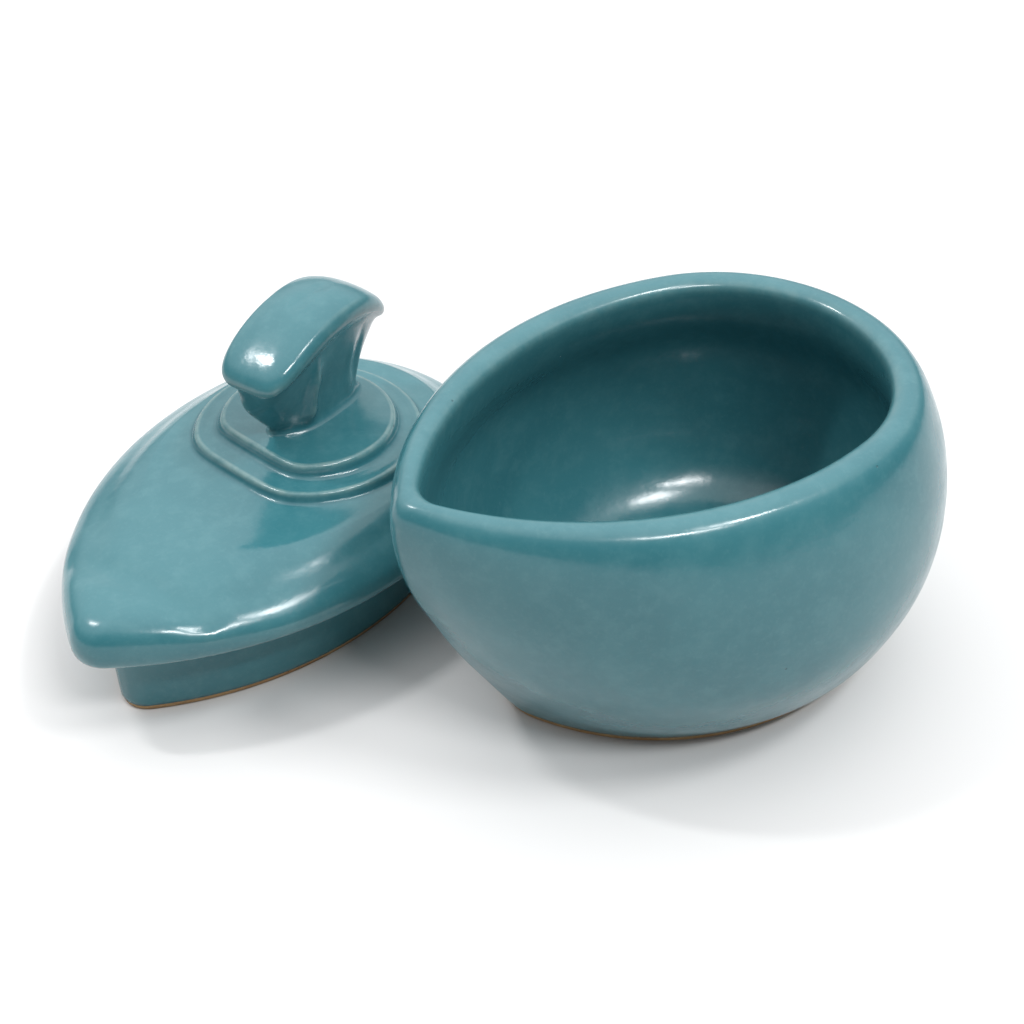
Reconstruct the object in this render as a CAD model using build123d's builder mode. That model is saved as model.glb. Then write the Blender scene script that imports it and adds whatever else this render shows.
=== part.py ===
"""Teardrop stoneware bowl with a separate flanged lid, which lies beside it on its flange.

Frame: millimetres, +Z up, table at Z = 0. The origin is the middle of the bowl's foot.
The bowl's long axis is X: its pointed end faces -X, and its round end faces +X.
"""
from math import atan2, cos, degrees, pi, radians, sin, sqrt
import os

from build123d import *

# ---- plans: each is (tip, round end, half width), measured from the middle of the round end ----
ROUNDNESS = 0.96                    # radius of the round end, as a part of the half width
ROUND_X = 9.0                       # middle of the round end, from the middle of the foot

# ---- bowl: heights above the table ----
FOOT_HEIGHT = 2.2                   # bare clay band under the glaze line
FLOOR_TOP = 8.5
LOW_Z, BELLY_Z, HIGH_Z = 17.0, 36.0, 51.0
LIP_Z, LIP_HEIGHT, LIP_ROUNDING = 67.5, 3.5, 3.2
FOOT_PLAN = (55.4, 39.0, 35.8)
BASE_PLAN = (56.2, 39.6, 36.4)
LOW_PLAN = (65.2, 45.4, 45.8)
BELLY_PLAN = (75.1, 48.8, 50.9)
HIGH_PLAN = (81.0, 47.9, 49.7)
RIM_PLAN = (82.4, 41.9, 43.6)
OPENING_PLAN = (75.5, 33.6, 35.0)
FOOT_TIP_R, LOW_TIP_R = 12.0, 6.5   # the pointed end is blunt at the foot
KEEL_R = 5.0                        # soft vertical edge at the pointed end
OPENING_TIP_R = 6.8
WALL = 6.5
FLOOR_SPREAD = 8.0                  # how far the floor's edge lies inside the wall's base

# ---- lid: heights above its seat, the plane where its brim meets the bowl's rim ----
LID_X, LID_Y, LID_YAW = -51.2, 77.2, 25.0
SEAT_HEIGHT = 18.9                  # seat above the table, at the middle of the round end
SEAT_TILT = 2.0                     # degrees, tip up: the flange is cut slightly uneven
FLANGE_PLAN = (75.0, 32.8, 33.2)    # 0.5 to 1.8 mm inside the opening
FLANGE_TIP_R = 6.0
FLANGE_WALL = 5.0
FLANGE_TAPER = 0.8
FLANGE_EDGE = 1.8                   # bare clay edge that the lid stands on
FLANGE_CUT = 30.0                   # height of the flange before the seat trims it
BRIM_PLAN = (85.2, 41.8, 41.8)
BRIM_TIP_R = 7.8
BRIM_ROUNDING = 1.2
BRIM_WIDEST, BRIM_TOP = 2.5, 5.5
SHOULDER_Z, SHOULDER_PLAN = 8.5, (81.5, 38.4, 38.4)
SADDLE_Z, SADDLE_PLAN = 11.5, (72.0, 33.5, 34.5)
DOME_Z, DOME_PLAN = 13.5, (56.0, 28.0, 29.0)
HOLLOW_Z, HOLLOW_INSET = 7.0, 9.0   # underside of the dome, and how far it draws in
HOLLOW_TOP_Z, HOLLOW_TOP_PLAN = 12.0, (26.0, 12.0, 15.0)

# ---- plinth: two low round steps, flattened towards the tip ----
STEP_BASE = 12.0                    # inside the dome
STEP_X = (-2.8, -3.7)
STEP_HALF_LENGTH = (23.8, 18.7)
STEP_HALF_WIDTH = (26.0, 20.0)
STEP_TOP = (15.2, 19.0)
STEP_FILLET = 0.8

# ---- knob: a waisted stem under an arched crown, which is as long as the lid's axis runs ----
KNOB_X = -2.8
CROWN_LENGTH, CROWN_WIDTH, CROWN_THICKNESS = 45.0, 20.0, 5.5
CROWN_TOP, CROWN_SAG = 49.0, 8.0
CROWN_CORNER_R, CROWN_EDGE_R = 8.0, 1.8
STEM_LEVELS = (STEP_TOP[1], 25.0, 44.0)
STEM_SIZES = ((27.0, 10.0), (28.0, 9.0), (33.0, 14.0))
STEM_CORNER_R = 4.0

BOWL_PLANE = Plane(origin=(ROUND_X, 0, 0))
LID_PLANE = Plane(
    origin=(LID_X, LID_Y, 0),
    x_dir=(cos(radians(LID_YAW)), sin(radians(LID_YAW)), 0),
    z_dir=(0, 0, 1),
)
SEAT_PLANE = LID_PLANE.offset(SEAT_HEIGHT).rotated((0, SEAT_TILT, 0))
SEAT_AXIS = Axis(SEAT_PLANE.origin, SEAT_PLANE.z_dir)
SIDE_PLANE = Plane(SEAT_PLANE.origin, x_dir=SEAT_PLANE.x_dir, z_dir=-SEAT_PLANE.y_dir)


def inset(plan, by):
    """A plan drawn in by a distance all round."""
    return tuple(extent - by for extent in plan)


class Teardrop(BaseSketchObject):
    """Outline of four tangent arcs: a round end to +X, two flanks, and a rounded tip to -X."""

    def __init__(self, plan, tip_radius, mode=Mode.ADD):
        tip, round_end, half_width = plan
        radius = ROUNDNESS * half_width
        centre = round_end - radius
        reach = tip + centre - tip_radius
        slack, width = half_width - radius, half_width - tip_radius
        share = 1 - slack / width
        run = (reach - sqrt(reach**2 - share * (reach**2 + slack * (radius - tip_radius)))) / share
        flank = (tip_radius + half_width + run**2 / width) / 2
        drop = flank - half_width
        flank_x = centre - sqrt((flank - radius) ** 2 - drop**2)
        tip_x = flank_x - run
        start = degrees(atan2(drop, centre - flank_x))
        stop = degrees(atan2(drop, tip_x - flank_x))
        with BuildSketch() as outline:
            with BuildLine():
                CenterArc((centre, 0), radius, -start, 2 * start)
                CenterArc((flank_x, -drop), flank, start, stop - start)
                CenterArc((tip_x, 0), tip_radius, stop, 360 - 2 * stop)
                CenterArc((flank_x, drop), flank, -stop, stop - start)
            make_face()
        super().__init__(obj=outline.sketch, rotation=0, align=None, mode=mode)


# ---- bowl_foot: unglazed base that the bowl stands on ----
with BuildPart() as bowl_foot:
    with BuildSketch(BOWL_PLANE):
        Teardrop(FOOT_PLAN, FOOT_TIP_R)
    extrude(amount=FOOT_HEIGHT)

# ---- bowl_body: bellied wall with a rounded lip, open at the top ----
WALL_LEVELS = (
    (FOOT_HEIGHT, BASE_PLAN, FOOT_TIP_R),
    (LOW_Z, LOW_PLAN, LOW_TIP_R),
    (BELLY_Z, BELLY_PLAN, KEEL_R),
    (HIGH_Z, HIGH_PLAN, KEEL_R),
    (LIP_Z, RIM_PLAN, KEEL_R),
)
INSIDE_LEVELS = (
    (FLOOR_TOP, inset(BASE_PLAN, FLOOR_SPREAD)),
    (LOW_Z, inset(LOW_PLAN, WALL)),
    (BELLY_Z, inset(BELLY_PLAN, WALL)),
    (HIGH_Z, inset(HIGH_PLAN, WALL)),
    (LIP_Z, OPENING_PLAN),
)
LIP_LEVELS = tuple(
    (LIP_Z + LIP_HEIGHT * sin(turn), LIP_ROUNDING * (1 - cos(turn))) for turn in (0, pi / 4, pi / 2)
)
with BuildPart() as bowl_body:
    for height, plan, tip_radius in WALL_LEVELS:
        with BuildSketch(BOWL_PLANE.offset(height)):
            Teardrop(plan, tip_radius)
    loft()
    for height, rounding in LIP_LEVELS:
        with BuildSketch(BOWL_PLANE.offset(height)):
            Teardrop(inset(RIM_PLAN, rounding), KEEL_R)
    loft()
    for height, plan in INSIDE_LEVELS:
        with BuildSketch(BOWL_PLANE.offset(height)):
            Teardrop(plan, OPENING_TIP_R)
    loft(mode=Mode.SUBTRACT)
    for height, rounding in LIP_LEVELS:
        with BuildSketch(BOWL_PLANE.offset(height)):
            Teardrop(inset(OPENING_PLAN, -rounding), OPENING_TIP_R)
    loft(mode=Mode.SUBTRACT)

# ---- lid_flange: glazed ring that locates the lid in the opening ----
FLANGE_FOOT_PLAN = inset(FLANGE_PLAN, FLANGE_TAPER)
FLANGE_HOLE_PLAN = inset(FLANGE_PLAN, FLANGE_WALL)
with BuildPart() as lid_flange:
    with BuildSketch(LID_PLANE.offset(FLANGE_EDGE)):
        Teardrop(FLANGE_FOOT_PLAN, FLANGE_TIP_R)
    with BuildSketch(LID_PLANE.offset(FLANGE_CUT)):
        Teardrop(FLANGE_PLAN, FLANGE_TIP_R)
    loft()
    with BuildSketch(LID_PLANE):
        Teardrop(FLANGE_HOLE_PLAN, FLANGE_TIP_R)
    extrude(amount=FLANGE_CUT, mode=Mode.SUBTRACT)
    split(bisect_by=SEAT_PLANE, keep=Keep.BOTTOM)

# ---- lid_flange_edge: bare clay edge of the flange ----
with BuildPart() as lid_flange_edge:
    with BuildSketch(LID_PLANE):
        Teardrop(FLANGE_FOOT_PLAN, FLANGE_TIP_R)
        Teardrop(FLANGE_HOLE_PLAN, FLANGE_TIP_R, mode=Mode.SUBTRACT)
    extrude(amount=FLANGE_EDGE)

# ---- lid_dome: brim, dome and stepped plinth, hollow inside the flange ----
DOME_LEVELS = (
    (0, inset(BRIM_PLAN, BRIM_ROUNDING)),
    (BRIM_WIDEST, BRIM_PLAN),
    (BRIM_TOP, inset(BRIM_PLAN, BRIM_ROUNDING)),
    (SHOULDER_Z, SHOULDER_PLAN),
    (SADDLE_Z, SADDLE_PLAN),
    (DOME_Z, DOME_PLAN),
)
HOLLOW_LEVELS = (
    (0, FLANGE_HOLE_PLAN),
    (HOLLOW_Z, inset(FLANGE_HOLE_PLAN, HOLLOW_INSET)),
    (HOLLOW_TOP_Z, HOLLOW_TOP_PLAN),
)
with BuildPart() as lid_dome:
    for height, plan in DOME_LEVELS:
        with BuildSketch(SEAT_PLANE.offset(height)):
            Teardrop(plan, BRIM_TIP_R)
    loft()
    for x, half_length, half_width, top in zip(STEP_X, STEP_HALF_LENGTH, STEP_HALF_WIDTH, STEP_TOP):
        with BuildSketch(SEAT_PLANE.offset(STEP_BASE)):
            with Locations((x, 0)):
                Ellipse(half_length, half_width)
        extrude(amount=top - STEP_BASE)
        fillet(lid_dome.edges().group_by(SEAT_AXIS)[-1], STEP_FILLET)
    for height, plan in HOLLOW_LEVELS:
        with BuildSketch(SEAT_PLANE.offset(height)):
            Teardrop(plan, FLANGE_TIP_R)
    loft(mode=Mode.SUBTRACT)

# ---- lid_knob: arched crown on a waisted stem ----
CROWN_END = CROWN_TOP - CROWN_SAG
with BuildPart() as lid_knob:
    with BuildSketch(SIDE_PLANE):
        with BuildLine():
            top = ThreePointArc(
                (KNOB_X - CROWN_LENGTH / 2, CROWN_END),
                (KNOB_X, CROWN_TOP),
                (KNOB_X + CROWN_LENGTH / 2, CROWN_END),
            )
            bottom = ThreePointArc(
                (KNOB_X - CROWN_LENGTH / 2, CROWN_END - CROWN_THICKNESS),
                (KNOB_X, CROWN_TOP - CROWN_THICKNESS),
                (KNOB_X + CROWN_LENGTH / 2, CROWN_END - CROWN_THICKNESS),
            )
            Line(top @ 0, bottom @ 0)
            Line(top @ 1, bottom @ 1)
        make_face()
    extrude(amount=CROWN_WIDTH / 2, both=True)
    fillet(lid_knob.edges().filter_by(SEAT_AXIS), CROWN_CORNER_R)
    fillet(lid_knob.edges().filter_by(SEAT_AXIS, reverse=True), CROWN_EDGE_R)
    for height, size in zip(STEM_LEVELS, STEM_SIZES):
        with BuildSketch(SEAT_PLANE.offset(height)):
            with Locations((KNOB_X, 0)):
                RectangleRounded(*size, STEM_CORNER_R)
    loft()

PIECES = {
    "bowl_foot": bowl_foot,
    "bowl_body": bowl_body,
    "lid_flange": lid_flange,
    "lid_flange_edge": lid_flange_edge,
    "lid_dome": lid_dome,
    "lid_knob": lid_knob,
}
os.makedirs("parts", exist_ok=True)
for name, piece in PIECES.items():
    piece.part.label = name
    export_step(piece.part, f"parts/{name}.step")
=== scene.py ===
from math import atan2, cos, pi, radians, sin, sqrt

import bpy
import numpy as np
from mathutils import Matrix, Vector


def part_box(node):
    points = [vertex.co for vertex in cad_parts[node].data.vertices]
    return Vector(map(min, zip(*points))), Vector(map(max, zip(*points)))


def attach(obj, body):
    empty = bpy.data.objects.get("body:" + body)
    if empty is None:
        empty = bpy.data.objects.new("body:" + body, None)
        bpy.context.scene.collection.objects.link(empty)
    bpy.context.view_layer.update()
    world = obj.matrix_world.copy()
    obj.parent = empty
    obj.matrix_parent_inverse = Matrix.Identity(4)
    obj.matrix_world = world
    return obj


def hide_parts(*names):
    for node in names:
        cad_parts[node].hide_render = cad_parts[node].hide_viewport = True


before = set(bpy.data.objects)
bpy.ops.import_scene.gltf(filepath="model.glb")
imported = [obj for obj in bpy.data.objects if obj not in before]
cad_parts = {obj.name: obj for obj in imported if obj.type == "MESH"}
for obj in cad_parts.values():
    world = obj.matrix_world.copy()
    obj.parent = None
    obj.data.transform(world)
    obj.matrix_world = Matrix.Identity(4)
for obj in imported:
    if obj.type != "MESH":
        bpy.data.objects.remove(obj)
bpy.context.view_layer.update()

MM = 0.001                          # the sizes below are millimetres, and Blender's are metres

# ---- heights that the CAD model sets ----
GLAZE_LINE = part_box("bowl_foot")[1].z / MM
RIM_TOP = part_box("bowl_body")[1].z / MM
FLANGE_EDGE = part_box("lid_flange_edge")[1].z / MM

# ---- plans: each is (tip, round end, half width), from the middle of the round end ----
ROUNDNESS = 0.96                    # radius of the round end, as a part of the half width
ROUND_X = 9.0                       # middle of the bowl's round end, from the middle of its foot
ARC_POINTS = (112, 64, 40)          # round end, each flank, tip
LID_X, LID_Y, LID_YAW = -51.2, 77.2, radians(25)
SEAT_HEIGHT, SEAT_TILT = 18.9, radians(2)

# ---- bowl: (height, plan, tip radius) from the glaze line up, over the lip and down to the floor ----
BOWL_LEVELS = (
    (GLAZE_LINE, (56.2, 39.6, 36.4), 12.0),
    (5.0, (58.0, 40.9, 38.6), 10.5),
    (9.0, (60.4, 42.6, 41.6), 9.0),
    (17.0, (65.2, 45.4, 45.8), 6.5),
    (26.0, (70.3, 47.6, 49.3), 5.0),
    (36.0, (75.1, 48.8, 50.9), 5.0),
    (48.0, (80.3, 48.4, 50.2), 5.0),
    (58.0, (82.6, 46.1, 47.9), 4.8),
    (64.5, (83.1, 43.5, 45.3), 4.9),
    (68.2, (82.4, 41.5, 43.3), 5.2),
    (70.2, (81.0, 39.7, 41.5), 5.6),
    (RIM_TOP, (78.9, 37.2, 38.9), 6.2),
    (70.6, (76.9, 34.9, 36.5), 6.6),
    (69.5, (75.9, 33.8, 35.2), 6.8),
    (67.5, (75.5, 33.6, 35.0), 6.8),
    (62.0, (75.6, 34.6, 36.0), 6.8),
    (50.0, (74.6, 40.2, 42.0), 6.8),
    (36.0, (69.0, 42.0, 44.0), 6.8),
    (20.0, (61.0, 39.5, 40.0), 6.8),
    (12.5, (53.0, 34.4, 33.0), 6.8),
    (9.2, (44.0, 27.5, 25.6), 6.0),
    (8.4, (30.0, 18.0, 17.0), 4.0),
)
BOWL_RINGS = 190
BOWL_FLOOR = (2.0, 0.0, 8.2)        # the lowest place inside the bowl

# ---- foot: (height, how far inside the foot's plan) ----
FOOT_PLAN = (55.4, 39.0, 35.8)
FOOT_TIP_R = 12.0
FOOT_TOP = GLAZE_LINE + 0.4         # a little way up inside the glaze
FOOT_LEVELS = (
    (0.0, 1.1),
    (0.25, 0.45),
    (0.8, 0.0),
    (FOOT_TOP, -0.1),
)
FOOT_RINGS = 14

# ---- lid: heights above the seat, the plane where the brim meets the bowl's rim ----
BRIM_PLAN = (85.2, 41.8, 41.8)
BRIM_TIP_R = 7.8
# (height, lift at the tip, plan, tip radius) from under the brim up to the plinth
DOME_LEVELS = (
    (0.35, 0.0, (80.5, 38.0, 38.3), 6.5),
    (0.0, 0.0, (83.2, 39.8, 39.8), 7.0),
    (0.8, 0.1, (84.7, 41.3, 41.3), 7.6),
    (2.4, 0.8, BRIM_PLAN, BRIM_TIP_R),
    (4.2, 2.0, (84.8, 41.4, 41.4), 7.6),
    (6.2, 3.0, (82.8, 39.8, 39.8), 7.2),
    (7.8, 3.1, (79.4, 37.6, 37.6), 7.2),
    (9.1, 2.5, (75.0, 35.4, 35.4), 8.2),
    (10.8, 1.3, (68.0, 33.0, 33.2), 11.0),
    (12.3, 0.2, (57.0, 30.8, 31.0), 14.0),
)
DOME_RINGS = 90
TIP_LIFT_X = (-50.0, -84.0)         # where the lift begins, and where it is whole
CREASE_X, CREASE_WIDTH, CREASE_DEPTH = -67.0, 3.8, 0.95      # the fold across the dome near the tip
CREASE_HEIGHTS = (5.0, 8.0)         # where the fold begins above the brim, and where it is whole
# (height, plan, tip radius) of the hollow under the dome
HOLLOW_LEVELS = (
    (7.0, (60.6, 18.1, 19.6), 6.5),
    (11.0, (40.0, 15.0, 16.5), 6.0),
    (12.0, (26.0, 12.0, 15.0), 4.0),
)
HOLLOW_CEILING = (-5.0, 0.0, 12.0)

# ---- flange: heights above the table, plan where it meets the dome ----
FLANGE_PLAN = (75.0, 32.8, 33.2)
FLANGE_TIP_R = 6.6
FLANGE_TAPER = 0.8
FLANGE_WALL = 5.0
FLANGE_OUTER_RINGS, FLANGE_INNER_RINGS = 24, 12
FLANGE_TOP = SEAT_HEIGHT + 3        # a little way up inside the dome
EDGE_TOP = FLANGE_EDGE + 0.3        # a little way up inside the glaze
# (height, how far inside the flange's face) on the outside and the inside of the flange's bare edge
EDGE_OUTER_LEVELS = ((0.0, 1.6), (0.12, 0.9), (0.5, 0.45), (1.2, 0.25), (EDGE_TOP, 0.15))
EDGE_INNER_LEVELS = ((EDGE_TOP, 0.0), (0.8, 0.0), (0.2, 0.35), (0.0, 0.9))

# ---- plinth: two round steps, cut flat towards the tip ----
PLINTH_X = -5.0
PLINTH_FLAT_TURN = radians(171)
PLINTH_CORNER = 18                  # how sharp the corners of the flat are
# (height, radius, distance of the flat)
PLINTH_LEVELS = (
    (13.0, 29.6, 26.6),
    (13.25, 28.4, 25.4),
    (13.7, 27.5, 24.4),
    (14.4, 27.1, 23.9),
    (15.1, 26.8, 23.6),
    (15.5, 26.4, 23.1),
    (15.6, 25.8, 22.5),
    (15.55, 24.6, 21.1),
    (15.7, 23.0, 19.4),
    (16.0, 21.8, 18.1),
    (16.7, 21.1, 17.4),
    (17.6, 20.8, 17.1),
    (18.3, 20.5, 16.8),
    (18.7, 20.0, 16.3),
    (18.75, 19.3, 15.6),
    (18.7, 18.0, 14.4),
    (18.7, 15.0, 12.2),
    (18.7, 12.0, 10.0),
    (18.8, 8.0, 7.0),
)
PLINTH_RINGS = 130
PLINTH_TOP = (PLINTH_X, 0.0, 18.9)
PLINTH_JOINT_RINGS = 26             # between the dome and the plinth

# ---- knob, from its foot to its top: heights above the seat ----
KNOB_Y = 0.1
KNOB_BOTTOM = (-1.0, KNOB_Y, 18.3)  # a little way down inside the plinth
ARCH_X, ARCH_RUN = -1.2, 22.7       # the arch's highest place along the knob, and its run to either end
ARCH_FRONT, ARCH_REAR = (6.3, 1.9), (11.6, 2.4)     # (drop, power)
KNOB_REAR_SQUARENESS = 2.7
KNOB_FAR_TAPER = 0.03               # how much narrower the crown's far front corner is
# (height, front end, rear end, half width, squareness of the front, share of the arch, skew of the front)
KNOB_LEVELS = (
    (18.45, -17.2, 14.4, 7.6, 2.4, 0.0, 2.6),
    (18.8, -16.0, 12.9, 6.0, 2.5, 0.0, 3.2),
    (19.8, -15.2, 12.0, 4.9, 2.6, 0.0, 3.8),
    (22.5, -16.6, 12.6, 4.5, 2.8, 0.0, 4.4),
    (26.5, -19.9, 14.3, 4.6, 3.1, 0.0, 4.2),
    (31.0, -23.0, 16.4, 5.4, 3.4, 0.1, 2.8),
    (35.5, -23.8, 17.8, 6.5, 3.8, 0.35, 1.4),
    (40.4, -24.4, 19.0, 7.7, 4.2, 0.72, 0.5),
    (43.4, -25.4, 20.1, 8.9, 4.5, 0.96, 0.1),
    (45.0, -26.3, 20.8, 9.8, 4.7, 1.0, 0.0),
    (46.4, -26.6, 21.0, 10.0, 4.7, 1.0, 0.0),
    (47.7, -26.0, 20.4, 9.5, 4.5, 1.0, 0.0),
    (48.8, -23.8, 18.2, 8.1, 4.2, 1.0, 0.0),
    (49.6, -18.6, 13.4, 5.4, 3.6, 1.0, 0.0),
    (50.0, -9.8, 6.4, 2.6, 3.0, 1.0, 0.0),
)
KNOB_RINGS = 120
KNOB_POINTS = 240
KNOB_TOP = (ARCH_X, KNOB_Y, KNOB_LEVELS[-1][0] + 0.05)
# upright ribs and grooves on the stem's sides: (place along the knob, how far out, width)
STEM_RIBS = ((-9.2, 1.7, 1.9), (5.6, 0.3, 1.6), (8.8, -0.5, 1.6))
STEM_RIB_HEIGHTS = (19.5, 23.5, 33.0, 41.0)         # where they begin, are whole, fade and end

# ---- linear colours ----
GLAZE_BODY = (0.040, 0.163, 0.190)
GLAZE_DEEP = (0.031, 0.141, 0.168)
GLAZE_MILK = (0.070, 0.200, 0.226)
GLAZE_POOL = (0.012, 0.088, 0.114)
GLAZE_THIN = (0.155, 0.262, 0.262)
GLAZE_SPECK = (0.012, 0.05, 0.06)
GLAZE_PINHOLE = (0.45, 0.55, 0.55)
CLAY_TAN = (0.42, 0.27, 0.13)
CLAY_TOASTED = (0.27, 0.15, 0.06)
CLAY_PALE = (0.55, 0.40, 0.24)
CLAY_FLECK = (0.10, 0.05, 0.025)
# bend of the surface, in radians per millimetre, where the mark begins and where it is whole
EDGE_BEND = (0.18, 0.80)
POOL_BEND = (0.10, 0.60)
LOW_CLEAR = 6.0                     # no pale edge below this height
MOST_BEND = 1.2                     # sharper bends count as this
BEND_BLURS = 4

# ---- camera: where it aims, and from where ----
CAMERA_AIM = Vector((-0.0291, 0.0270, 0.0300))
CAMERA_AZIMUTH, CAMERA_ELEVATION = radians(-32.91), radians(39.9)
CAMERA_DISTANCE = 0.4092
LENS, SENSOR = 63.28, 36.0


# ================================ shapes ================================

def inset(plan, by):
    """A plan drawn in by a distance all round."""
    return tuple(extent - by for extent in plan)


def teardrop(plan, tip_radius):
    """Points of an outline of four tangent arcs: round end to +X, two flanks, rounded tip to -X."""
    tip, round_end, half_width = plan
    radius = ROUNDNESS * half_width
    centre = round_end - radius
    reach = tip + centre - tip_radius
    slack, width = half_width - radius, half_width - tip_radius
    share = 1 - slack / width
    run = (reach - sqrt(reach**2 - share * (reach**2 + slack * (radius - tip_radius)))) / share
    flank = (tip_radius + half_width + run**2 / width) / 2
    drop = flank - half_width
    flank_x = centre - sqrt((flank - radius) ** 2 - drop**2)
    tip_x = flank_x - run
    start = atan2(drop, centre - flank_x)
    stop = atan2(drop, tip_x - flank_x)
    round_points, flank_points, tip_points = ARC_POINTS
    arcs = (
        (centre, 0, radius, -start, start, round_points),
        (flank_x, -drop, flank, start, stop, flank_points),
        (tip_x, 0, tip_radius, stop, 2 * pi - stop, tip_points),
        (flank_x, drop, flank, -stop, -start, flank_points),
    )
    points = []
    for x, y, r, first, last, count in arcs:
        turns = np.linspace(first, last, count, endpoint=False)
        points.append(np.stack([x + r * np.cos(turns), y + r * np.sin(turns)], axis=1))
    return np.concatenate(points)


def smooth(levels, count):
    """`count` rows of a natural cubic spline through `levels`, spaced evenly along it."""
    levels = np.array([np.hstack(level) for level in levels], float)
    steps = np.maximum(np.linalg.norm(np.diff(levels, axis=0), axis=1), 0.2)
    knots = np.concatenate([[0], np.cumsum(steps)])
    size = len(levels)
    matrix, rise = np.eye(size), np.zeros_like(levels)
    slopes = np.diff(levels, axis=0) / steps[:, None]
    for i in range(1, size - 1):
        matrix[i, i - 1:i + 2] = steps[i - 1], 2 * (steps[i - 1] + steps[i]), steps[i]
        rise[i] = 6 * (slopes[i] - slopes[i - 1])
    bend = np.linalg.solve(matrix, rise)
    at = np.linspace(0, knots[-1], count)
    i = np.clip(np.searchsorted(knots, at, side="right") - 1, 0, size - 2)
    step, left, right = steps[i, None], (knots[i + 1] - at)[:, None], (at - knots[i])[:, None]
    return (
        (bend[i] * left**3 + bend[i + 1] * right**3) / (6 * step)
        + (levels[i] / step - bend[i] * step / 6) * left
        + (levels[i + 1] / step - bend[i + 1] * step / 6) * right
    )


def teardrop_rings(rows, place=(0, 0)):
    """Rings from rows of (height, tip, round end, half width, tip radius)."""
    rings = []
    for height, tip, round_end, half_width, tip_radius in rows:
        outline = teardrop((tip, round_end, half_width), tip_radius) + place
        rings.append(np.column_stack([outline, np.full(len(outline), height)]))
    return np.array(rings)


def closing(ring, centre, count):
    """Rings that shrink from a ring towards a centre, so that a cap is smooth."""
    shares = np.linspace(1, 0, count + 2)[1:-1, None, None]
    return np.asarray(centre) + shares * (ring - np.asarray(centre))


def blend_rings(before, after, count):
    """Rings between two pairs of rings, each point on a cubic that leaves and meets them smoothly."""
    before, after = np.asarray(before), np.asarray(after)
    start, end = before[-1], after[0]
    gap = np.linalg.norm(end - start, axis=1, keepdims=True)
    leave, meet = start - before[-2], after[1] - end
    leave *= gap / np.maximum(np.linalg.norm(leave, axis=1, keepdims=True), 1e-9)
    meet *= gap / np.maximum(np.linalg.norm(meet, axis=1, keepdims=True), 1e-9)
    t = np.linspace(0, 1, count + 2)[1:-1, None, None]
    return (
        (2 * t**3 - 3 * t**2 + 1) * start + (t**3 - 2 * t**2 + t) * leave
        + (3 * t**2 - 2 * t**3) * end + (t**3 - t**2) * meet
    )


def make_piece(name, points, faces):
    """An object from points in millimetres and its faces."""
    mesh = bpy.data.meshes.new(name)
    mesh.from_pydata((points * MM).tolist(), [], faces)
    mesh.shade_smooth()
    mesh.validate()
    piece = bpy.data.objects.new(name, mesh)
    bpy.context.scene.collection.objects.link(piece)
    return piece


def skin(name, rings, first_pole, last_pole):
    """A closed smooth mesh over rings, capped by a pole at each end. Sizes are millimetres."""
    rings = np.asarray(rings)
    count, size = rings.shape[:2]
    points = np.concatenate([rings.reshape(-1, 3), [first_pole], [last_pole]])
    ring, around = np.meshgrid(np.arange(count - 1), np.arange(size), indexing="ij")
    here, after = ring * size + around, ring * size + (around + 1) % size
    quads = np.stack([here, after, after + size, here + size], axis=-1).reshape(-1, 4)
    around = np.arange(size)
    turned = (around + 1) % size
    top = (count - 1) * size
    pole = count * size
    fans = [(pole, b, a) for a, b in zip(around, turned)]
    fans += [(pole + 1, top + a, top + b) for a, b in zip(around, turned)]
    return make_piece(name, points, quads.tolist() + [tuple(map(int, fan)) for fan in fans])


def ring_skin(name, rings):
    """A closed smooth mesh over rings that come back round to the first, as on a ring of clay."""
    rings = np.asarray(rings)
    count, size = rings.shape[:2]
    ring, around = np.meshgrid(np.arange(count), np.arange(size), indexing="ij")
    here, after = ring * size + around, ring * size + (around + 1) % size
    onward, onward_after = (here + size) % (count * size), (after + size) % (count * size)
    quads = np.stack([here, after, onward_after, onward], axis=-1).reshape(-1, 4)
    return make_piece(name, rings.reshape(-1, 3), quads.tolist())


def seat_to_frame(points):
    """Lid points, with Z up from the seat and X along the lid's axis, in the shared frame."""
    points = np.asarray(points, float)
    along = np.array([cos(LID_YAW) * cos(SEAT_TILT), sin(LID_YAW) * cos(SEAT_TILT), -sin(SEAT_TILT)])
    across = np.array([-sin(LID_YAW), cos(LID_YAW), 0])
    up = np.cross(along, across)
    origin = np.array([LID_X, LID_Y, SEAT_HEIGHT])
    return origin + points[..., :1] * along + points[..., 1:2] * across + points[..., 2:] * up


def flat_to_frame(points):
    """Lid points with Z up from the table, in the shared frame."""
    points = np.asarray(points, float)
    along = np.array([cos(LID_YAW), sin(LID_YAW), 0])
    across = np.array([-sin(LID_YAW), cos(LID_YAW), 0])
    up = np.array([0, 0, 1])
    origin = np.array([LID_X, LID_Y, 0])
    return origin + points[..., :1] * along + points[..., 1:2] * across + points[..., 2:] * up


# ================================ pieces ================================

def make_bowl_body():
    rings = teardrop_rings(smooth(BOWL_LEVELS, BOWL_RINGS), (ROUND_X, 0))
    under = (0.0, 0.0, GLAZE_LINE)
    start = closing(rings[0], under, 6)[::-1]
    end = closing(rings[-1], BOWL_FLOOR, 12)
    return skin("bowl_body_glazed", np.concatenate([start, rings, end]), under, BOWL_FLOOR)


def make_bowl_foot():
    levels = [(height, *inset(FOOT_PLAN, by), FOOT_TIP_R) for height, by in FOOT_LEVELS]
    rings = teardrop_rings(smooth(levels, FOOT_RINGS), (ROUND_X, 0))
    under, top = (0.0, 0.0, 0.0), (0.0, 0.0, FOOT_TOP)
    start = closing(rings[0], under, 8)[::-1]
    end = closing(rings[-1], top, 4)
    return skin("bowl_foot_clay", np.concatenate([start, rings, end]), under, top)


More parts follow.
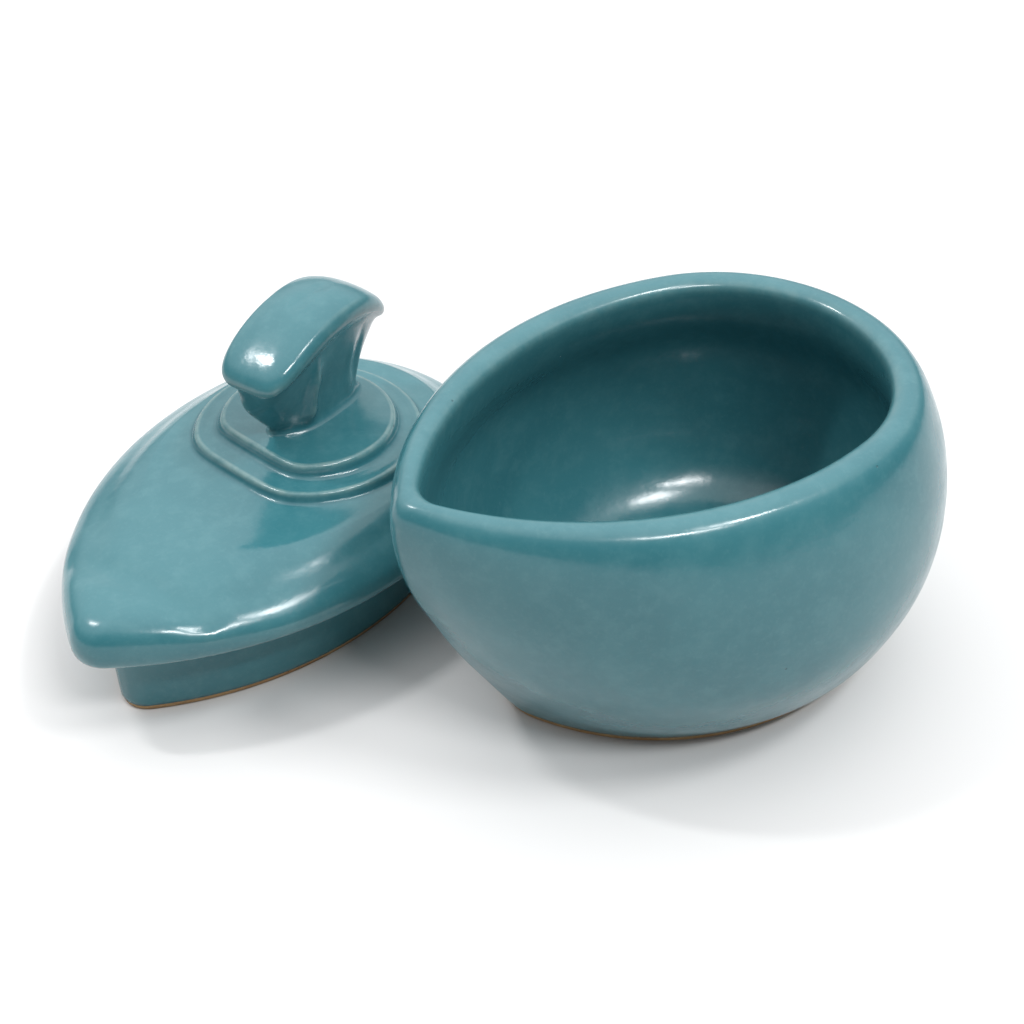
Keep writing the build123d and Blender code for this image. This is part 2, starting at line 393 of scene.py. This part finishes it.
def plinth_outline(turns, radius, flat):
    """Distance from the plinth's middle at each turn: a circle cut by a straight front."""
    facing = np.maximum(np.cos(turns - PLINTH_FLAT_TURN), 1e-6)
    return (radius**-PLINTH_CORNER + (facing / flat) ** PLINTH_CORNER) ** (-1 / PLINTH_CORNER)


def make_lid_dome():
    rows = smooth(DOME_LEVELS, DOME_RINGS)
    dome = teardrop_rings(np.delete(rows, 1, axis=1))
    far = np.clip((dome[..., 0] - TIP_LIFT_X[0]) / (TIP_LIFT_X[1] - TIP_LIFT_X[0]), 0, 1)
    dome[..., 2] += rows[:, 1, None] * far**2 * (3 - 2 * far)
    above = np.clip((dome[..., 2] - CREASE_HEIGHTS[0]) / (CREASE_HEIGHTS[1] - CREASE_HEIGHTS[0]), 0, 1)
    crease = np.exp(-((dome[..., 0] - CREASE_X) / CREASE_WIDTH) ** 2)
    dome[..., 2] -= CREASE_DEPTH * above * crease
    turns = np.arctan2(dome[-1, :, 1], dome[-1, :, 0] - PLINTH_X)
    plinth = []
    for height, radius, flat in smooth(PLINTH_LEVELS, PLINTH_RINGS):
        reach = plinth_outline(turns, radius, flat)
        plinth.append(np.column_stack([
            PLINTH_X + reach * np.cos(turns), reach * np.sin(turns), np.full(len(turns), height)
        ]))
    joint = blend_rings(dome[-2:], plinth[:2], PLINTH_JOINT_RINGS)
    hole = teardrop_rings([(DOME_LEVELS[0][0], *inset(FLANGE_PLAN, FLANGE_WALL), FLANGE_TIP_R)])
    hollow = teardrop_rings([(height, *plan, radius) for height, plan, radius in HOLLOW_LEVELS])
    rings = np.concatenate([
        closing(hollow[-1], HOLLOW_CEILING, 4)[::-1], hollow[::-1], hole, dome, joint, plinth,
        closing(plinth[-1], PLINTH_TOP, 4),
    ])
    return skin("lid_dome_glazed", *map(seat_to_frame, (rings, HOLLOW_CEILING, PLINTH_TOP)))


def flange_ring(name, levels):
    """A ring of the flange's plan from (height, distance inside that plan), all the way round its section."""
    rings = teardrop_rings([(height, *inset(FLANGE_PLAN, by), FLANGE_TIP_R) for height, by in levels])
    return ring_skin(name, flat_to_frame(rings))


def make_lid_flange():
    outer = [
        (FLANGE_EDGE + share * (FLANGE_TOP - FLANGE_EDGE), FLANGE_TAPER * (1 - share))
        for share in np.linspace(0, 1, FLANGE_OUTER_RINGS)
    ]
    inner = [
        (FLANGE_EDGE + share * (FLANGE_TOP - FLANGE_EDGE), FLANGE_WALL)
        for share in np.linspace(1, 0, FLANGE_INNER_RINGS)
    ]
    return flange_ring("lid_flange_glazed", outer + inner)


def make_lid_flange_edge():
    outer = [(height, FLANGE_TAPER + by) for height, by in EDGE_OUTER_LEVELS]
    inner = [(height, FLANGE_WALL - by) for height, by in EDGE_INNER_LEVELS]
    return flange_ring("lid_flange_edge_clay", outer + inner)


def make_lid_knob():
    turns = np.linspace(0, 2 * pi, KNOB_POINTS, endpoint=False)
    rings = []
    for height, front, rear, half_width, square, arch, skew in smooth(KNOB_LEVELS, KNOB_RINGS):
        power = 2 / np.where(np.cos(turns) < 0, square, KNOB_REAR_SQUARENESS)
        x = np.sign(np.cos(turns)) * np.abs(np.cos(turns)) ** power
        y = np.sign(np.sin(turns)) * np.abs(np.sin(turns)) ** power
        y *= 1 - KNOB_FAR_TAPER * arch * np.where(y > 0, (1 - x) ** 2 / 4, 0)
        skewed = skew * y * (1 - x) / 2
        x, y = (front + rear) / 2 + (rear - front) / 2 * x - skewed, half_width * y
        bare = np.interp(height, STEM_RIB_HEIGHTS, (0, 1, 1, 0))
        for place, rise, width in STEM_RIBS:
            y += np.sign(y) * bare * rise * np.exp(-((x - place) / width) ** 2)
        reach = np.abs((x - ARCH_X) / ARCH_RUN)
        drop = arch * np.where(
            x < ARCH_X, ARCH_FRONT[0] * reach ** ARCH_FRONT[1], ARCH_REAR[0] * reach ** ARCH_REAR[1]
        )
        rings.append(np.column_stack([x, KNOB_Y + y, height - drop]))
    start = closing(rings[0], KNOB_BOTTOM, 3)[::-1]
    end = closing(rings[-1], KNOB_TOP, 4)
    rings = np.concatenate([start, rings, end])
    return skin("lid_knob_glazed", *map(seat_to_frame, (rings, KNOB_BOTTOM, KNOB_TOP)))


# ================================ materials ================================

class Nodes:
    """A material's node tree, built by short calls."""

    def __init__(self, name, roughness):
        self.material = bpy.data.materials.new(name)
        self.material.use_nodes = True
        self.tree = self.material.node_tree
        self.shader = self.tree.nodes["Principled BSDF"]
        self.shader.inputs["Roughness"].default_value = roughness
        self.place = self.tree.nodes.new("ShaderNodeTexCoord").outputs["Object"]

    def put(self, socket, value):
        if hasattr(value, "is_linked"):
            self.tree.links.new(value, socket)
        else:
            socket.default_value = value

    def noise(self, scale, detail=3.0, roughness=0.5, distortion=0.0):
        """Soft noise from 0 to 1, with `scale` features to the metre."""
        node = self.tree.nodes.new("ShaderNodeTexNoise")
        self.put(node.inputs["Vector"], self.place)
        node.inputs["Scale"].default_value = scale
        node.inputs["Detail"].default_value = detail
        node.inputs["Roughness"].default_value = roughness
        node.inputs["Distortion"].default_value = distortion
        return node.outputs["Fac"]

    def cells(self, scale):
        """Distance from the nearest of many scattered points, and a random number for that point."""
        node = self.tree.nodes.new("ShaderNodeTexVoronoi")
        self.put(node.inputs["Vector"], self.place)
        node.inputs["Scale"].default_value = scale
        split = self.tree.nodes.new("ShaderNodeSeparateColor")
        self.put(split.inputs["Color"], node.outputs["Color"])
        return node.outputs["Distance"], split.outputs["Red"]

    def attribute(self, name):
        node = self.tree.nodes.new("ShaderNodeAttribute")
        node.attribute_name = name
        return node.outputs["Fac"]

    def math(self, operation, first, second=0.0):
        node = self.tree.nodes.new("ShaderNodeMath")
        node.operation = operation
        self.put(node.inputs[0], first)
        self.put(node.inputs[1], second)
        return node.outputs[0]

    def span(self, value, low, high, to_low=0.0, to_high=1.0):
        node = self.tree.nodes.new("ShaderNodeMapRange")
        node.interpolation_type = "SMOOTHSTEP"
        self.put(node.inputs["Value"], value)
        limits = {"From Min": low, "From Max": high, "To Min": to_low, "To Max": to_high}
        for socket, number in limits.items():
            node.inputs[socket].default_value = number
        return node.outputs["Result"]

    def mix(self, share, first, second):
        node = self.tree.nodes.new("ShaderNodeMix")
        node.data_type = "RGBA"
        self.put(node.inputs[0], share)
        self.put(node.inputs[6], (*first, 1) if isinstance(first, tuple) else first)
        self.put(node.inputs[7], (*second, 1) if isinstance(second, tuple) else second)
        return node.outputs[2]

    def spots(self, scale, kept, size):
        """Scattered small round spots: a share `kept` of the cells has one."""
        distance, number = self.cells(scale)
        round_spot = self.span(distance, size, size * 0.6)
        return self.math("MULTIPLY", round_spot, self.span(number, kept, kept * 0.98))

    def finish(self, colour, roughness, layers):
        """Link the colour, the roughness and a stack of bumps of (height, depth in metres)."""
        self.put(self.shader.inputs["Base Color"], colour)
        self.put(self.shader.inputs["Roughness"], roughness)
        normal = None
        for height, depth in layers:
            bump = self.tree.nodes.new("ShaderNodeBump")
            bump.inputs["Strength"].default_value = 1.0
            bump.inputs["Distance"].default_value = depth
            self.put(bump.inputs["Height"], height)
            if normal:
                self.put(bump.inputs["Normal"], normal)
            normal = bump.outputs["Normal"]
        self.put(self.shader.inputs["Normal"], normal)
        return self.material


def make_glaze():
    """Glossy turquoise stoneware glaze: mottled, thin and pale on edges, deep where it pools."""
    nodes = Nodes("glaze", 0.14)
    nodes.shader.inputs["IOR"].default_value = 1.5
    nodes.shader.inputs["Coat Weight"].default_value = 0.08
    nodes.shader.inputs["Coat Roughness"].default_value = 0.08
    clouds = nodes.noise(26, 3, 0.55, 0.6)
    mottle = nodes.noise(190, 4, 0.62)
    grain = nodes.noise(900, 3, 0.6)
    colour = nodes.mix(nodes.span(clouds, 0.3, 0.7), GLAZE_DEEP, GLAZE_BODY)
    colour = nodes.mix(nodes.span(mottle, 0.42, 0.74, 0, 0.4), colour, GLAZE_MILK)
    colour = nodes.mix(nodes.span(grain, 0.5, 0.8, 0, 0.3), colour, GLAZE_MILK)
    pool = nodes.math("MULTIPLY", nodes.attribute("pool"), nodes.span(mottle, 0.2, 0.7, 0.55, 0.3))
    colour = nodes.mix(pool, colour, GLAZE_POOL)
    uneven = nodes.span(nodes.noise(330, 4, 0.6), 0.25, 0.7, 0.25, 0.85)
    breaking = nodes.math("MULTIPLY", nodes.attribute("edge"), uneven)
    colour = nodes.mix(breaking, colour, GLAZE_THIN)
    specks = nodes.spots(150, 0.12, 0.055)
    colour = nodes.mix(nodes.math("MULTIPLY", specks, 0.6), colour, GLAZE_SPECK)
    pinholes = nodes.spots(95, 0.05, 0.03)
    colour = nodes.mix(nodes.math("MULTIPLY", pinholes, 0.8), colour, GLAZE_PINHOLE)
    roughness = nodes.span(nodes.noise(120, 3, 0.6), 0.3, 0.75, 0.15, 0.27)
    return nodes.finish(colour, roughness, (
        (nodes.noise(48, 2, 0.5), 0.00028),
        (nodes.noise(520, 3, 0.55), 0.00004),
        (nodes.math("ADD", specks, pinholes), -0.00006),
    ))


def make_clay():
    """Bare fired stoneware: tan, gritty, with darker toasted patches."""
    nodes = Nodes("bare_clay", 0.85)
    grit = nodes.noise(1500, 4, 0.7)
    colour = nodes.mix(nodes.span(nodes.noise(60, 3, 0.6), 0.3, 0.7), CLAY_TOASTED, CLAY_TAN)
    colour = nodes.mix(nodes.span(grit, 0.45, 0.8, 0, 0.6), colour, CLAY_PALE)
    colour = nodes.mix(nodes.spots(700, 0.12, 0.16), colour, CLAY_FLECK)
    return nodes.finish(colour, nodes.span(grit, 0.3, 0.7, 0.7, 0.95), (
        (grit, 0.00012),
        (nodes.noise(300, 3, 0.6), 0.0001),
    ))


def mark_edges(piece):
    """Store on each vertex how sharply the surface bends out ("edge") and in ("pool"), per millimetre."""
    mesh = piece.data
    count = len(mesh.vertices)
    places, normals = np.empty(count * 3), np.empty(count * 3)
    mesh.vertices.foreach_get("co", places)
    mesh.vertices.foreach_get("normal", normals)
    places, normals = places.reshape(-1, 3) / MM, normals.reshape(-1, 3)
    ends = np.empty(len(mesh.edges) * 2, int)
    mesh.edges.foreach_get("vertices", ends)
    first, second = ends.reshape(-1, 2).T
    step = places[second] - places[first]
    squared_length = np.maximum((step**2).sum(1), 0.01)
    bend = ((normals[second] - normals[first]) * step).sum(1) / squared_length
    edge, pool = np.zeros(count), np.zeros(count)
    for vertices in (first, second):
        np.maximum.at(edge, vertices, bend)
        np.maximum.at(pool, vertices, -bend)
    edge, pool = np.clip(edge, 0, MOST_BEND), np.clip(pool, 0, MOST_BEND)
    share = np.bincount(first, minlength=count) + np.bincount(second, minlength=count)
    for _ in range(BEND_BLURS):
        for values in (edge, pool):
            around = np.bincount(first, values[second], count) + np.bincount(second, values[first], count)
            values[:] = (values + around / share) / 2
    edge = np.clip((edge - EDGE_BEND[0]) / (EDGE_BEND[1] - EDGE_BEND[0]), 0, 1)
    pool = np.clip((pool - POOL_BEND[0]) / (POOL_BEND[1] - POOL_BEND[0]), 0, 1)
    edge[places[:, 2] < LOW_CLEAR] = 0
    for name, values in (("edge", edge), ("pool", pool)):
        mesh.attributes.new(name, "FLOAT", "POINT").data.foreach_set("value", values)


glaze = make_glaze()
clay = make_clay()

for make, material, body, node, slot in (
    (make_bowl_body, glaze, "bowl", "bowl_body", "glaze"),
    (make_bowl_foot, clay, "bowl", "bowl_foot", "bare_clay"),
    (make_lid_dome, glaze, "lid", "lid_dome", "glaze"),
    (make_lid_flange, glaze, "lid", "lid_flange", "glaze"),
    (make_lid_flange_edge, clay, "lid", "lid_flange_edge", "bare_clay"),
    (make_lid_knob, glaze, "lid", "lid_knob", "glaze"),
):
    piece = make()
    piece.data.materials.append(material)
    mark_edges(piece)
    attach(piece, body)
    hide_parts(node)

# ================================ studio ================================

FLOOR_HALF = 3.0                    # metres
FLOOR_COLOUR = (0.67, 0.67, 0.672)
floor_mesh = bpy.data.meshes.new("floor")
floor_corners = [(x * FLOOR_HALF, y * FLOOR_HALF, 0) for x, y in ((-1, -1), (1, -1), (1, 1), (-1, 1))]
floor_mesh.from_pydata(floor_corners, [], [(0, 1, 2, 3)])
floor = bpy.data.objects.new("floor", floor_mesh)
bpy.context.scene.collection.objects.link(floor)
floor_material = bpy.data.materials.new("floor")
floor_material.use_nodes = True
floor_shader = floor_material.node_tree.nodes["Principled BSDF"]
floor_shader.inputs["Base Color"].default_value = (*FLOOR_COLOUR, 1)
floor_shader.inputs["Roughness"].default_value = 0.7
floor_shader.inputs["Specular IOR Level"].default_value = 0.0
floor_mesh.materials.append(floor_material)


def towards(azimuth, elevation):
    """The direction of a place in the room, by compass (0 is +Y, 90 degrees +X) and height."""
    return Vector((sin(azimuth) * cos(elevation), cos(azimuth) * cos(elevation), sin(elevation)))


# a room that is bright overhead and behind the object, and dim in front of it
BRIGHT_AZIMUTH, BRIGHT_ELEVATION = radians(20), radians(68)
# (how far towards the bright side, from 0 at the opposite point to 1, brightness)
SKY = ((0.0, 0.06), (0.50, 0.08), (0.66, 0.28), (0.86, 1.35), (1.0, 1.95))
world = bpy.data.worlds.new("studio")
bpy.context.scene.world = world
world.use_nodes = True
tree = world.node_tree
background = tree.nodes["Background"]
direction = tree.nodes.new("ShaderNodeTexCoord")
facing = tree.nodes.new("ShaderNodeVectorMath")
facing.operation = "DOT_PRODUCT"
facing.inputs[1].default_value = towards(BRIGHT_AZIMUTH, BRIGHT_ELEVATION)
half = tree.nodes.new("ShaderNodeMath")
half.operation = "MULTIPLY_ADD"
half.inputs[1].default_value = half.inputs[2].default_value = 0.5
ramp = tree.nodes.new("ShaderNodeValToRGB")
ramp.color_ramp.interpolation = "EASE"
while len(ramp.color_ramp.elements) < len(SKY):
    ramp.color_ramp.elements.new(0.5)
for stop, (position, brightness) in zip(ramp.color_ramp.elements, SKY):
    stop.position = position
    stop.color = (brightness, brightness, brightness, 1)
tree.links.new(direction.outputs["Generated"], facing.inputs[0])
tree.links.new(facing.outputs["Value"], half.inputs[0])
tree.links.new(half.outputs["Value"], ramp.inputs["Fac"])
tree.links.new(ramp.outputs["Color"], background.inputs["Color"])
background.inputs["Strength"].default_value = 1.0

SOFTBOX_DISTANCE = 1.6
# (name, azimuth and elevation in degrees, size in metres, watts), each facing the object
for name, azimuth, elevation, size, power in (
    ("left_box", -47, 57, (0.07, 0.24), 6),
    ("front_box", 178, 57, (0.50, 0.10), 9),
    ("right_box", 138, 64, (0.34, 0.20), 7),
):
    outward = towards(radians(azimuth), radians(elevation))
    data = bpy.data.lights.new(name, "AREA")
    data.shape = "RECTANGLE"
    data.size, data.size_y = size
    data.energy = power
    light = bpy.data.objects.new(name, data)
    bpy.context.scene.collection.objects.link(light)
    light.location = outward * SOFTBOX_DISTANCE
    light.rotation_mode = "QUATERNION"
    light.rotation_quaternion = outward.to_track_quat("Z", "Y")

camera_data = bpy.data.cameras.new("camera")
camera_data.lens, camera_data.sensor_width = LENS, SENSOR
camera_data.clip_start, camera_data.clip_end = 0.01, 20
camera = bpy.data.objects.new("camera", camera_data)
bpy.context.scene.collection.objects.link(camera)
back = Vector((
    sin(CAMERA_AZIMUTH) * cos(CAMERA_ELEVATION),
    -cos(CAMERA_AZIMUTH) * cos(CAMERA_ELEVATION),
    sin(CAMERA_ELEVATION),
))
camera.location = CAMERA_AIM + CAMERA_DISTANCE * back
camera.rotation_mode = "QUATERNION"
camera.rotation_quaternion = (-back).to_track_quat("-Z", "Y")
bpy.context.scene.camera = camera
bpy.context.scene.view_settings.view_transform = "Standard"
